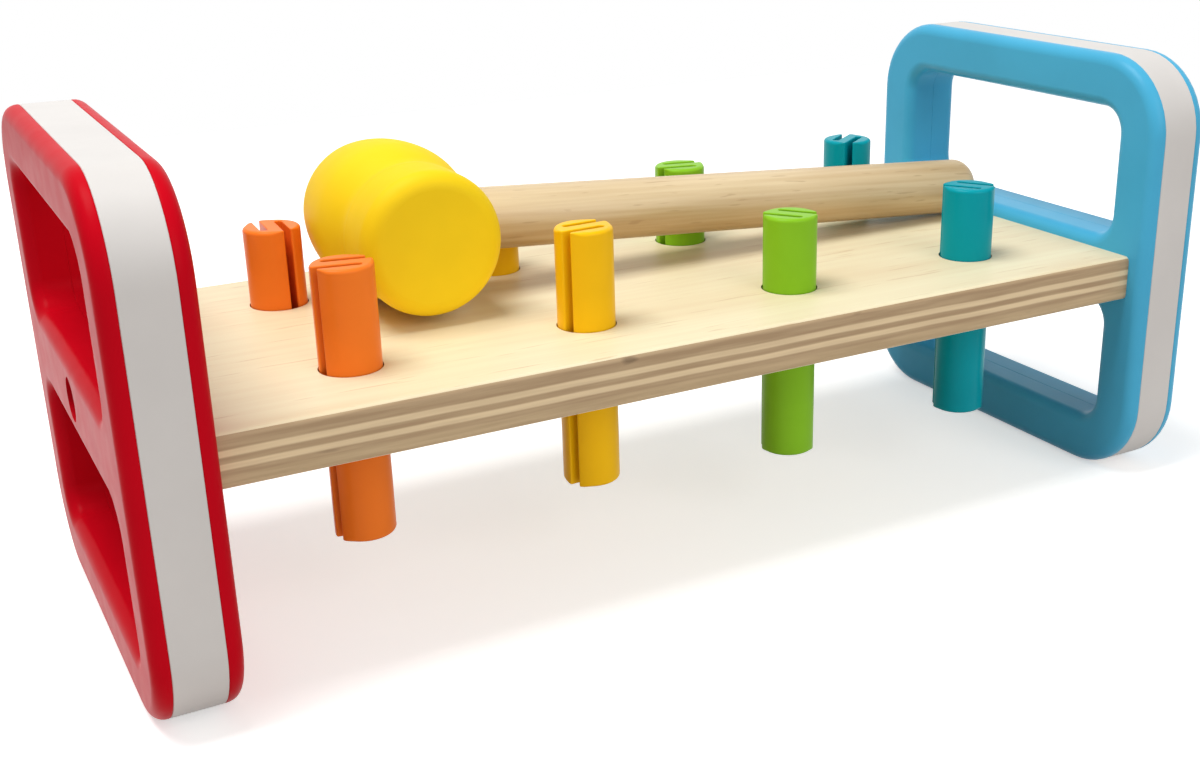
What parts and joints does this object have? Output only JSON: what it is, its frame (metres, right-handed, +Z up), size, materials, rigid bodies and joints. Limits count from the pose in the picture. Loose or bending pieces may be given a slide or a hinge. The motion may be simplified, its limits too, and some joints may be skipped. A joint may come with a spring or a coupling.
{
  "type": "peg pounding bench",
  "caption": "Pounding bench toy: a plywood board between two rounded square end frames, split pegs that are driven through the board, and a barrel-headed hammer on top.",
  "frame": {"origin": "on the floor under the middle of the bench", "axes": "+X along the bench towards the blue end, +Y to the back, +Z up"},
  "size_m": [0.318, 0.132, 0.132],
  "materials": {
    "birch_plywood": "clear lacquered birch plywood",
    "red_lacquer": "glossy red",
    "blue_lacquer": "glossy blue",
    "white_core": "satin white",
    "beech_dowel": "plain beech",
    "screw_steel": "zinc plated",
    "orange_plastic": "glossy orange",
    "yellow_plastic": "glossy yellow",
    "green_plastic": "glossy green",
    "teal_plastic": "glossy teal",
    "hammer_yellow": "glossy yellow paint over turned wood",
    "beech_handle": "satin beech"
  },
  "bodies": {
    "bench": {"bench_board": "birch_plywood", "left_outer_shell": "red_lacquer", "left_core": "white_core", "left_inner_shell": "red_lacquer", "left_dowels": "beech_dowel", "left_end_screw": "screw_steel", "right_outer_shell": "blue_lacquer", "right_core": "white_core", "right_inner_shell": "blue_lacquer", "right_dowels": "beech_dowel", "right_end_screw": "screw_steel"},
    "orange_peg_front": {"orange_peg_front": "orange_plastic"},
    "yellow_peg_front": {"yellow_peg_front": "yellow_plastic"},
    "green_peg_front": {"green_peg_front": "green_plastic"},
    "teal_peg_front": {"teal_peg_front": "teal_plastic"},
    "orange_peg_rear": {"orange_peg_rear": "orange_plastic"},
    "yellow_peg_rear": {"yellow_peg_rear": "yellow_plastic"},
    "green_peg_rear": {"green_peg_rear": "green_plastic"},
    "teal_peg_rear": {"teal_peg_rear": "teal_plastic"},
    "hammer": {"hammer_head": "hammer_yellow", "hammer_handle": "beech_handle"}
  },
  "joints": [
    {"name": "orange_peg_front_slide", "type": "slide", "parent": "bench", "child": "orange_peg_front", "axis": [0, 0, 1], "range_m": [-0.02675, 0.03115]},
    {"name": "yellow_peg_front_slide", "type": "slide", "parent": "bench", "child": "yellow_peg_front", "axis": [0, 0, 1], "range_m": [-0.02687, 0.03103]},
    {"name": "green_peg_front_slide", "type": "slide", "parent": "bench", "child": "green_peg_front", "axis": [0, 0, 1], "range_m": [-0.02177, 0.03613]},
    {"name": "teal_peg_front_slide", "type": "slide", "parent": "bench", "child": "teal_peg_front", "axis": [0, 0, 1], "range_m": [-0.02194, 0.03596]},
    {"name": "orange_peg_rear_slide", "type": "slide", "parent": "bench", "child": "orange_peg_rear", "axis": [0, 0, 1], "range_m": [-0.02223, 0.03567]},
    {"name": "yellow_peg_rear_slide", "type": "slide", "parent": "bench", "child": "yellow_peg_rear", "axis": [0, 0, 1], "range_m": [-0.02223, 0.03567]},
    {"name": "green_peg_rear_slide", "type": "slide", "parent": "bench", "child": "green_peg_rear", "axis": [0, 0, 1], "range_m": [-0.02438, 0.03352]},
    {"name": "teal_peg_rear_slide", "type": "slide", "parent": "bench", "child": "teal_peg_rear", "axis": [0, 0, 1], "range_m": [-0.02588, 0.03202]},
    {"name": "hammer_lift", "type": "slide", "parent": "bench", "child": "hammer", "axis": [0, 0, 1], "range_m": [0, 0.1]}
  ]
}
